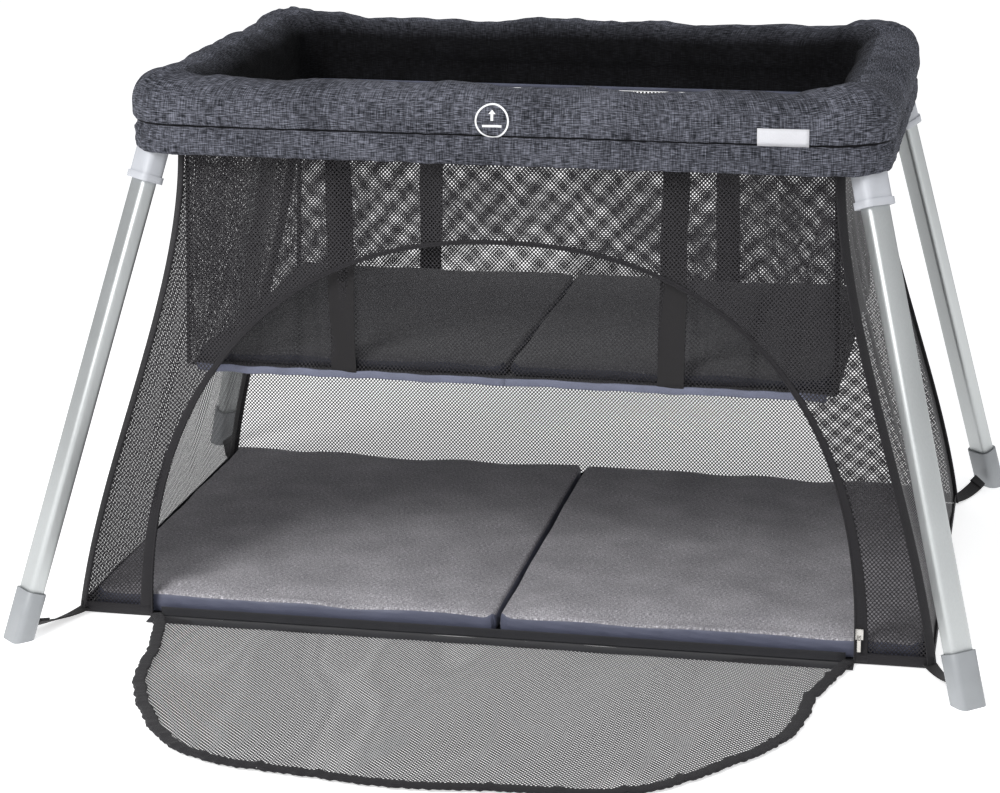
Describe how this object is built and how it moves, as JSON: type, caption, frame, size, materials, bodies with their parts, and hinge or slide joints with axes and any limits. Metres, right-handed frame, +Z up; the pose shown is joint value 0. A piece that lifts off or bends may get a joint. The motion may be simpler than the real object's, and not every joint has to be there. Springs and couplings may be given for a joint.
{
  "type": "folding playpen with hanging bassinet",
  "caption": "Folding travel playpen with splayed metal legs, padded top rail, mesh walls, zipped arched door, hanging bassinet and two folding mattresses.",
  "frame": {"origin": "on the ground, under the middle of the top rail and of the four feet, on the underside of the tent floor", "axes": "+X to the right seen from the door, -Y out through the door, +Z up"},
  "size_m": [1.2426, 1.3025, 0.706],
  "materials": {
    "aluminium": "satin",
    "steel": "satin",
    "white_plastic": "satin",
    "foot_plastic": "satin",
    "rail_fabric": "matte",
    "mesh_fabric": "matte",
    "webbing": "matte",
    "floor_fabric": "matte",
    "mattress_fabric": "matte",
    "bassinet_mattress_fabric": "matte",
    "piping_fabric": "matte",
    "label_fabric": "matte"
  },
  "bodies": {
    "left_end": {"leg_front_left": "aluminium", "leg_back_left": "aluminium", "foot_cap_front_left": "foot_plastic", "foot_cap_back_left": "foot_plastic", "corner_moulding_front_left": "white_plastic", "corner_moulding_back_left": "white_plastic", "corner_pivot_pin_front_left": "steel", "corner_pivot_pin_back_left": "steel", "foot_strap_front_left": "webbing", "foot_strap_back_left": "webbing", "end_rail_left": "aluminium", "rail_cover_end_left": "rail_fabric", "tent_wall_left": "mesh_fabric", "bassinet_wall_left": "mesh_fabric", "tent_wall_front": "mesh_fabric", "tent_wall_back": "mesh_fabric", "tent_floor": "floor_fabric", "bassinet_wall_front": "mesh_fabric", "bassinet_wall_back": "mesh_fabric", "bassinet_floor": "floor_fabric", "bassinet_strap_left": "webbing", "bassinet_strap_right": "webbing", "lower_mattress_left": "mattress_fabric", "upper_mattress_left": "bassinet_mattress_fabric"},
    "front_left_half": {"long_rail_front_left": "aluminium", "rail_cover_front_left": "rail_fabric"},
    "front_lock": {"lock_housing_front": "foot_plastic", "lock_pin_front_left": "steel", "lock_pin_front_right": "steel"},
    "front_lock_button": {"lock_button_front": "foot_plastic"},
    "front_right_half": {"long_rail_front_right": "aluminium", "rail_cover_front_right": "rail_fabric"},
    "back_left_half": {"long_rail_back_left": "aluminium", "rail_cover_back_left": "rail_fabric"},
    "back_lock": {"lock_housing_back": "foot_plastic", "lock_pin_back_left": "steel", "lock_pin_back_right": "steel"},
    "back_lock_button": {"lock_button_back": "foot_plastic"},
    "back_right_half": {"long_rail_back_right": "aluminium", "rail_cover_back_right": "rail_fabric"},
    "right_end": {"leg_front_right": "aluminium", "leg_back_right": "aluminium", "foot_cap_front_right": "foot_plastic", "foot_cap_back_right": "foot_plastic", "corner_moulding_front_right": "white_plastic", "corner_moulding_back_right": "white_plastic", "corner_pivot_pin_front_right": "steel", "corner_pivot_pin_back_right": "steel", "foot_strap_front_right": "webbing", "foot_strap_back_right": "webbing", "end_rail_right": "aluminium", "rail_cover_end_right": "rail_fabric", "tent_wall_right": "mesh_fabric", "bassinet_wall_right": "mesh_fabric"},
    "lower_mattress_fold": {"lower_mattress_right": "mattress_fabric"},
    "upper_mattress_fold": {"upper_mattress_right": "bassinet_mattress_fabric"},
    "door": {"door_flap": "mesh_fabric"},
    "zip": {"zip_slider": "steel"},
    "zip_tab": {"zip_pull": "steel"}
  },
  "joints": [
    {"name": "frame_fold", "type": "hinge", "parent": "left_end", "child": "front_left_half", "pos_m": [-0.412, -0.297, 0.655], "axis": [0, -1, 0], "range_deg": [0, 75], "deforming": ["rail_cover_front_left", "rail_cover_front_right", "rail_cover_back_left", "rail_cover_back_right", "bassinet_wall_front", "tent_wall_front", "bassinet_wall_back", "tent_wall_back", "rail_cover_end_left", "bassinet_strap_left", "lower_mattress_left", "upper_mattress_left", "rail_cover_end_right", "bassinet_strap_right", "lower_mattress_right", "upper_mattress_right", "tent_floor", "bassinet_floor", "door_flap"]},
    {"name": "front_lock_left_pin", "type": "hinge", "parent": "front_left_half", "child": "front_lock", "pos_m": [-0.03, -0.297, 0.655], "axis": [0, -1, 0], "range_deg": [-75, 0]},
    {"name": "front_lock_right_pin", "type": "hinge", "parent": "front_lock", "child": "front_right_half", "pos_m": [0.03, -0.297, 0.655], "axis": [0, -1, 0], "range_deg": [-75, 0]},
    {"name": "front_right_corner_pin", "type": "hinge", "parent": "front_right_half", "child": "right_end", "pos_m": [0.412, -0.297, 0.655], "axis": [0, -1, 0], "range_deg": [0, 75]},
    {"name": "back_left_corner_pin", "type": "hinge", "parent": "left_end", "child": "back_left_half", "pos_m": [-0.412, 0.297, 0.655], "axis": [0, -1, 0], "range_deg": [0, 75]},
    {"name": "back_lock_left_pin", "type": "hinge", "parent": "back_left_half", "child": "back_lock", "pos_m": [-0.03, 0.297, 0.655], "axis": [0, -1, 0], "range_deg": [-75, 0]},
    {"name": "back_lock_right_pin", "type": "hinge", "parent": "back_lock", "child": "back_right_half", "pos_m": [0.03, 0.297, 0.655], "axis": [0, -1, 0], "range_deg": [-75, 0]},
    {"name": "front_button_press", "type": "slide", "parent": "front_lock", "child": "front_lock_button", "axis": [0, 1, 0], "range_m": [0, 0.005], "stiffness_N_per_m": 400, "springref_m": -0.003},
    {"name": "back_button_press", "type": "slide", "parent": "back_lock", "child": "back_lock_button", "axis": [0, -1, 0], "range_m": [0, 0.005], "stiffness_N_per_m": 400, "springref_m": -0.003},
    {"name": "lower_mattress_crease", "type": "hinge", "parent": "left_end", "child": "lower_mattress_fold", "pos_m": [0, 0, 0.0345], "axis": [0, -1, 0], "range_deg": [0, 7]},
    {"name": "upper_mattress_crease", "type": "hinge", "parent": "left_end", "child": "upper_mattress_fold", "pos_m": [0, 0, 0.3465], "axis": [0, -1, 0], "range_deg": [0, 170]},
    {"name": "door_hinge", "type": "hinge", "parent": "left_end", "child": "door", "pos_m": [0, -0.346, 0.0015], "axis": [-1, 0, 0], "range_deg": [0, 96]},
    {"name": "zip_travel", "type": "slide", "parent": "right_end", "child": "zip", "axis": [-0.1005, 0.102, 0.9897], "range_m": [0, 0.12]},
    {"name": "zip_tab_swing", "type": "hinge", "parent": "zip", "child": "zip_tab", "pos_m": [0.4615, -0.34821, 0.037], "axis": [-1, 0, 0], "range_deg": [0, 150]}
  ],
  "couplings": [
    {"joint": "front_lock_left_pin", "follows": "frame_fold", "ratio": -1},
    {"joint": "front_lock_right_pin", "follows": "frame_fold", "ratio": -1},
    {"joint": "front_right_corner_pin", "follows": "frame_fold", "ratio": 1},
    {"joint": "back_left_corner_pin", "follows": "frame_fold", "ratio": 1},
    {"joint": "back_lock_left_pin", "follows": "frame_fold", "ratio": -1},
    {"joint": "back_lock_right_pin", "follows": "frame_fold", "ratio": -1}
  ]
}
